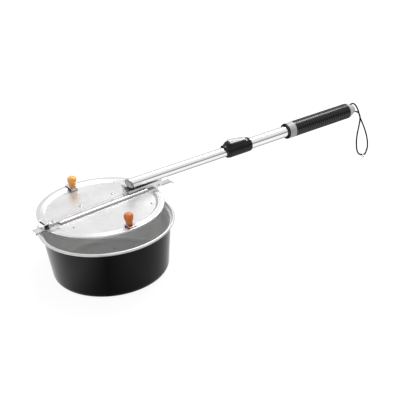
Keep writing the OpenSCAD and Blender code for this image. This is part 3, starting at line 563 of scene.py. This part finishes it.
# Handle tubes
# Two drawn and polished aluminium tubes; the thin one is riveted into the bracket and slides
# in the thick one on a plastic bush at its end. Its mouth is sawn off leaning two ways.
droop = math.radians(1.95)
along = Vector((math.cos(droop), 0.0, -math.sin(droop)))
upright = Vector((math.sin(droop), 0.0, math.cos(droop)))
handle_place = mm @ Matrix((
    (upright.x, 0.0, along.x, 86.229),
    (0.0, -1.0, 0.0, 51.342),
    (upright.z, 0.0, along.z, 126.3),
    (0.0, 0.0, 0.0, 1.0)))

tube_metal, tube_shader = new_finish("tube_metal", (0.93, 0.93, 0.935), 0.1, 1.0)
drawn_lines = grain(tube_metal, 0.0008, stretch=(0.02, 1.0, 1.0), turn=(0.0, -droop, 0.0), detail=3.0)
tube_smears = grain(tube_metal, 0.02, stretch=(0.3, 1.0, 1.0), detail=4.0)
tint(tube_metal, tube_shader, tube_smears, (0.3, (0.91, 0.91, 0.915)), (0.7, (0.95, 0.95, 0.955)))
rub(tube_metal, tube_shader, drawn_lines, 0.06, 0.14)
relief(tube_metal, tube_shader, drawn_lines, 0.00001, 0.5)
tube_bore, bore_shader = new_finish("tube_bore", (0.92, 0.92, 0.925), 0.6)
bore_marks = grain(tube_bore, 0.003, stretch=(0.1, 1.0, 1.0), detail=3.0)
tint(tube_bore, bore_shader, bore_marks, (0.3, (0.9, 0.9, 0.905)), (0.7, (0.95, 0.95, 0.955)))
rub(tube_bore, bore_shader, bore_marks, 0.4, 0.6)
# Painted shade: the tube ends and their rounded corners get a near-black finish that draws a dark outline
# round them.
edge_shade_paint, edge_shade_shader = new_finish("edge_shade_paint", (0.08, 0.08, 0.082), 0.55, 0.6)
edge_shade_grain = grain(edge_shade_paint, 0.0008, detail=3.0)
tint(edge_shade_paint, edge_shade_shader, edge_shade_grain, (0.3, (0.05, 0.05, 0.051)), (0.7, (0.11, 0.11, 0.112)))
rub(edge_shade_paint, edge_shade_shader, edge_shade_grain, 0.45, 0.65)

mouth_at = 1.7
mouth_lean = math.radians(16.4)
tube_rivets_at = (15.0, 46.0)
for name, node, bore, skin, start, end, body in (
        ("thin_tube", "inner_tube", 8.5, 10.0, -3.0, 355.0, "lid"),
        ("thick_tube", "outer_tube", 10.3, 11.8, 237.5, 571.0, "grip_handle")):
    tube_corners = [(bore, start, 0.3), (skin, start, 0.4), (skin, end, 0.4), (bore, end, 0.3)]
    tube_outline = eased(tube_corners, steps=3, loop=True)
    tube_steps = []
    if node == "inner_tube":
        slanted = handle_place @ Matrix.Translation((0.0, 0.0, mouth_at))
        slanted = slanted @ Matrix.Rotation(mouth_lean, 4, "Y") @ Matrix.Rotation(mouth_lean, 4, "X")
        tube_steps.append(("DIFFERENCE", block(-20, 20, -20, 20, -40, 0, slanted)))
        for at in tube_rivets_at:
            tube_steps.append(("DIFFERENCE", rod(4.1, (-14, 0, at), (0, 0, at), handle_place, 24)))
    else:
        tube_steps.append(("DIFFERENCE", block(4, 20, -5, 5, 276, 286, handle_place)))
    # Strip marks: 0 is the painted shade on the ends, 1 the bore, 2 the polished skin.
    tube_marks = [0] * 4 + [2] * 7 + [0] * 4 + [1]
    tube_mesh = turn_up(tube_outline, handle_place, 96, loop=True, marks=tube_marks)
    tube = worked(name, tube_mesh, tube_steps, [edge_shade_paint, tube_bore, tube_metal])
    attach(tube, body)
    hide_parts(node)

# Lock
# A black moulded clamp on the front of the thick tube. A silver lever in its hump turns a cam
# that presses a rubber pad on the thin tube.
black_plastic, plastic_shader = new_finish("black_plastic", (0.006, 0.006, 0.0064), 0.3)
plastic_shader.inputs["Specular IOR Level"].default_value = 0.25
moulded_grain = grain(black_plastic, 0.0007, detail=2.0)
moulded_flow = grain(black_plastic, 0.01, detail=3.0)
tint(black_plastic, plastic_shader, moulded_flow, (0.3, (0.003, 0.003, 0.0033)),
     (0.7, (0.0055, 0.0055, 0.006)))
rub(black_plastic, plastic_shader, moulded_flow, 0.24, 0.36)
relief(black_plastic, plastic_shader, moulded_grain, 0.00004, 0.6)


def smooth(value, start, end):
    """An even rise from 0 to 1 between start and end."""
    t = min(max((value - start) / (end - start), 0.0), 1.0)
    return t * t * (3.0 - 2.0 * t)


def clamp_mesh():
    """The clamp's shell: a barrel with a hump on top and a slanted nose, bored for both tubes."""
    around = 72
    barrel = [(0, 13, 13.1), (0.7, 13.8, 13.8), (2, 14, 14), (4.5, 14, 14.4), (6.5, 14.1, 15.8),
              (8.5, 14.3, 17.8), (10.5, 14.6, 19.4), (11.8, 14.7, 20), (13.2, 14.75, 20),
              (15, 14.75, 18.2), (16.5, 14.75, 17.6), (28, 14.75, 17.3), (40, 14.75, 17),
              (52, 14.75, 16.7), (55, 14.75, 16.5), (58, 14.75, 15.9), (61, 14.75, 15),
              (63.5, 14.65, 14.65), (64.8, 14.3, 14.3), (65.5, 13.6, 13.6)]
    mesh = bmesh.new()
    rings = []
    for s, r, crown in barrel:
        ring = []
        for k in range(around):
            turn = math.tau * k / around
            y = r * math.sin(turn)
            u = r * math.cos(turn)
            if u > 0:
                u += (crown - r) * (1.0 - smooth(abs(y), 7.5, 11.5))
            slant = 7.5 * (14.0 - u) / 28.0 * (1.0 - smooth(s, 0.0, 13.0))
            ring.append(mesh.verts.new(handle_place @ Vector((u, y, 227.5 + s + slant))))
        rings.append(ring)
    for s, r in ((65.5, 11.85), (10.0, 11.85), (10.0, 10.05), (0.0, 10.05)):
        ring = []
        for k in range(around):
            turn = math.tau * k / around
            u = r * math.cos(turn)
            slant = 7.5 * (14.0 - u) / 28.0 * (1.0 - smooth(s, 0.0, 9.0))
            ring.append(mesh.verts.new(handle_place @ Vector((u, r * math.sin(turn), 227.5 + s + slant))))
        rings.append(ring)
    for here, there in zip(rings, rings[1:] + rings[:1]):
        for k in range(around):
            n = (k + 1) % around
            mesh.faces.new((here[k], here[n], there[n], there[k]))
    return mesh


clamp_cuts = [("DIFFERENCE", block(15.25, 32, -6.4, 6.4, 240.9, 300, handle_place)),
              ("DIFFERENCE", block(4, 32, -6.4, 6.4, 277.9, 284.1, handle_place)),
              ("DIFFERENCE", block(4, 32, -5, 5, 276, 286, handle_place)),
              ("DIFFERENCE", rod(3.1, (14.4, -20, 281), (14.4, 20, 281), handle_place, 24))]
lock_clamp = worked("lock_clamp", clamp_mesh(), clamp_cuts, [black_plastic], 35.0)
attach(lock_clamp, "grip_handle")
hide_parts("lock_body")
dress("inner_tube_bush", black_plastic)

lever_silver, lever_shader = new_finish("lever_silver", (0.78, 0.78, 0.79), 0.22, 1.0)
lever_marks = grain(lever_silver, 0.002, stretch=(0.2, 1.0, 1.0), detail=3.0)
rub(lever_silver, lever_shader, lever_marks, 0.16, 0.3)
relief(lever_silver, lever_shader, lever_marks, 0.000006, 0.6)
deburred("lock_lever", "lever_on_lock", 0.0008, lever_silver, "lock")
dress("lock_pin", bright_steel)

# Grip
# A black plastic core on the thick tube carries a grey ferrule and a grooved rubber sleeve,
# and a grey tapered cap with two cord holes closes the end.
grip_rubber, rubber_shader = new_finish("grip_rubber", (0.0035, 0.0035, 0.0038), 0.36)
rubber_shader.inputs["Specular IOR Level"].default_value = 0.42
rubber_skin = grain(grip_rubber, 0.0006, detail=3.0)
rubber_dust = grain(grip_rubber, 0.008, detail=5.0)
tint(grip_rubber, rubber_shader, rubber_dust, (0.3, (0.002, 0.002, 0.0022)), (0.75, (0.005, 0.005, 0.0055)))
rub(grip_rubber, rubber_shader, rubber_dust, 0.18, 0.28)
relief(grip_rubber, rubber_shader, rubber_skin, 0.00002, 0.6)
dress("lock_pad", grip_rubber)
dress("grip_sleeve", grip_rubber)
dress("grip_core", black_plastic)

ferrule_grey, ferrule_shader = new_finish("ferrule_grey", (0.29, 0.29, 0.293), 0.4)
ferrule_grain = grain(ferrule_grey, 0.0008, detail=2.0)
ferrule_flow = grain(ferrule_grey, 0.012, detail=3.0)
tint(ferrule_grey, ferrule_shader, ferrule_flow, (0.3, (0.26, 0.26, 0.263)), (0.7, (0.32, 0.32, 0.323)))
rub(ferrule_grey, ferrule_shader, ferrule_flow, 0.34, 0.48)
relief(ferrule_grey, ferrule_shader, ferrule_grain, 0.00004, 0.6)
dress("grip_ferrule", ferrule_grey)

cap_grey, cap_shader = new_finish("cap_grey", (0.34, 0.34, 0.343), 0.4)
cap_grain = grain(cap_grey, 0.0008, detail=2.0)
cap_flow = grain(cap_grey, 0.012, detail=3.0)
tint(cap_grey, cap_shader, cap_flow, (0.3, (0.3, 0.3, 0.303)), (0.7, (0.38, 0.38, 0.383)))
rub(cap_grey, cap_shader, cap_flow, 0.34, 0.48)
relief(cap_grey, cap_shader, cap_grain, 0.00004, 0.6)
cap_place = handle_place @ Matrix.Translation((0.0, 0.0, 566.0))
cap_outline = eased([(0, 5.05, 0), (11.85, 5.05, 0.3), (11.85, 0, 0.3), (16.5, 0, 0.5), (16.5, 3, 3),
                     (9.2, 19.5, 3), (6.7, 22, 1.2), (0, 22, 0)], steps=5)
cap_cuts = [("DIFFERENCE", rod(4.2, (9, 0, 4), (14.69, 0, 25.25), cap_place)),
            ("DIFFERENCE", rod(4.2, (-7, 0, 4), (-7, 0, 26), cap_place))]
cap_at_end = worked("cap_at_end", turn_up(cap_outline, cap_place, 72), cap_cuts, [cap_grey])
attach(cap_at_end, "grip_handle")
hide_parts("end_cap")

# Table and light
# A plain white table under one long softbox, in a room that is bright at the back and above
# and grey low down in front. Those grey walls draw the thin grey lines on the tubes. Mirrored
# in the part, the table is dim far in front and behind, bright on the left, with a dark strip.
table_white = bpy.data.materials.new("table_white")
table_white.use_nodes = True
tree = table_white.node_tree
tree.nodes.clear()
paint = tree.nodes.new("ShaderNodeBsdfDiffuse")
paint.inputs["Color"].default_value = (0.8, 0.8, 0.8, 1.0)
glow = tree.nodes.new("ShaderNodeEmission")
glow.inputs["Color"].default_value = (1.0, 1.0, 1.0, 1.0)
glow.inputs["Strength"].default_value = 1.07
lit = tree.nodes.new("ShaderNodeMixShader")
lit.inputs["Fac"].default_value = 0.85
tree.links.new(paint.outputs["BSDF"], lit.inputs[1])
tree.links.new(glow.outputs["Emission"], lit.inputs[2])
spot = tree.nodes.new("ShaderNodeTexCoord")
split = tree.nodes.new("ShaderNodeSeparateXYZ")
tree.links.new(spot.outputs["Object"], split.inputs["Vector"])
depth = tree.nodes.new("ShaderNodeMapRange")
depth.inputs["From Min"].default_value = -1.0
depth.inputs["From Max"].default_value = 0.25
tree.links.new(split.outputs["Y"], depth.inputs["Value"])
fall = tree.nodes.new("ShaderNodeValToRGB")
fall.color_ramp.elements[0].position = 0.1
fall.color_ramp.elements[0].color = (0.3, 0.3, 0.3, 1.0)
fall.color_ramp.elements[1].position = 0.86
fall.color_ramp.elements[1].color = (0.3, 0.3, 0.3, 1.0)
for at in (0.35, 0.78):
    bright = fall.color_ramp.elements.new(at)
    bright.color = (1.0, 1.0, 1.0, 1.0)
tree.links.new(depth.outputs["Result"], fall.inputs["Fac"])
left = tree.nodes.new("ShaderNodeMapRange")
left.inputs["From Min"].default_value = -0.16
left.inputs["From Max"].default_value = 0.0
left.inputs["To Min"].default_value = 1.7
left.inputs["To Max"].default_value = 0.0
tree.links.new(split.outputs["X"], left.inputs["Value"])
lighter = tree.nodes.new("ShaderNodeMath")
lighter.operation = "MAXIMUM"
tree.links.new(fall.outputs["Color"], lighter.inputs[0])
tree.links.new(left.outputs["Result"], lighter.inputs[1])
across = tree.nodes.new("ShaderNodeVectorMath")
across.operation = "DOT_PRODUCT"
across.inputs[1].default_value = (0.82, -0.572, 0.0)
tree.links.new(spot.outputs["Object"], across.inputs[0])
offset = tree.nodes.new("ShaderNodeMath")
offset.operation = "ABSOLUTE"
tree.links.new(across.outputs["Value"], offset.inputs[0])
strip = tree.nodes.new("ShaderNodeMapRange")
strip.inputs["From Max"].default_value = 0.1
strip.inputs["To Min"].default_value = 0.3
tree.links.new(offset.outputs["Value"], strip.inputs["Value"])
darker = tree.nodes.new("ShaderNodeMath")
darker.operation = "MULTIPLY"
tree.links.new(lighter.outputs["Value"], darker.inputs[0])
tree.links.new(strip.outputs["Result"], darker.inputs[1])
sheen = tree.nodes.new("ShaderNodeEmission")
tree.links.new(darker.outputs["Value"], sheen.inputs["Color"])
ray = tree.nodes.new("ShaderNodeLightPath")
shiny = tree.nodes.new("ShaderNodeMixShader")
tree.links.new(ray.outputs["Is Glossy Ray"], shiny.inputs["Fac"])
tree.links.new(paint.outputs["BSDF"], shiny.inputs[1])
tree.links.new(sheen.outputs["Emission"], shiny.inputs[2])
mix = tree.nodes.new("ShaderNodeMixShader")
tree.links.new(ray.outputs["Is Camera Ray"], mix.inputs["Fac"])
tree.links.new(shiny.outputs["Shader"], mix.inputs[1])
tree.links.new(lit.outputs["Shader"], mix.inputs[2])
out = tree.nodes.new("ShaderNodeOutputMaterial")
tree.links.new(mix.outputs["Shader"], out.inputs["Surface"])

table_mesh = bpy.data.meshes.new("table")
table_z = -0.0003
table_corners = [(-8, -8, table_z), (8, -8, table_z), (8, 8, table_z), (-8, 8, table_z)]
table_mesh.from_pydata(table_corners, [], [(0, 1, 2, 3)])
table_mesh.materials.append(table_white)
table = bpy.data.objects.new("table", table_mesh)
scene.collection.objects.link(table)

room = bpy.data.worlds.new("soft_room")
scene.world = room
room.use_nodes = True
tree = room.node_tree
tree.nodes.clear()
aim = tree.nodes.new("ShaderNodeTexCoord")
split = tree.nodes.new("ShaderNodeSeparateXYZ")
tree.links.new(aim.outputs["Generated"], split.inputs["Vector"])
walls = tree.nodes.new("ShaderNodeValToRGB")
walls.color_ramp.elements[0].position = 0.0
walls.color_ramp.elements[0].color = (0.25, 0.25, 0.25, 1.0)
walls.color_ramp.elements[1].position = 1.0
walls.color_ramp.elements[1].color = (0.9, 0.9, 0.9, 1.0)
for at, shade in ((0.14, 0.3), (0.3, 0.66), (0.45, 0.78), (0.7, 0.9)):
    step = walls.color_ramp.elements.new(at)
    step.color = (shade, shade, shade, 1.0)
behind = tree.nodes.new("ShaderNodeMath")
behind.operation = "MAXIMUM"
behind.inputs[1].default_value = 0.0
tree.links.new(split.outputs["Y"], behind.inputs[0])
height = tree.nodes.new("ShaderNodeMath")
height.operation = "MULTIPLY_ADD"
height.inputs[1].default_value = 0.35
tree.links.new(behind.outputs["Value"], height.inputs[0])
tree.links.new(split.outputs["Z"], height.inputs[2])
tree.links.new(height.outputs["Value"], walls.inputs["Fac"])
ray = tree.nodes.new("ShaderNodeLightPath")
mix = tree.nodes.new("ShaderNodeMix")
mix.data_type = "RGBA"
tree.links.new(ray.outputs["Is Camera Ray"], mix.inputs["Factor"])
tree.links.new(walls.outputs["Color"], mix.inputs["A"])
mix.inputs["B"].default_value = (1.0, 1.0, 1.0, 1.0)
sky = tree.nodes.new("ShaderNodeBackground")
tree.links.new(mix.outputs["Result"], sky.inputs["Color"])
out = tree.nodes.new("ShaderNodeOutputWorld")
tree.links.new(sky.outputs["Background"], out.inputs["Surface"])

softbox = bpy.data.lights.new("long_softbox", "AREA")
softbox.shape = "RECTANGLE"
softbox.size = 1.6
softbox.size_y = 0.45
softbox.energy = 32.0
softbox_lamp = bpy.data.objects.new("long_softbox", softbox)
softbox_lamp.location = (1.1, 0.35, 1.45)
scene.collection.objects.link(softbox_lamp)

scene.view_settings.view_transform = "Standard"
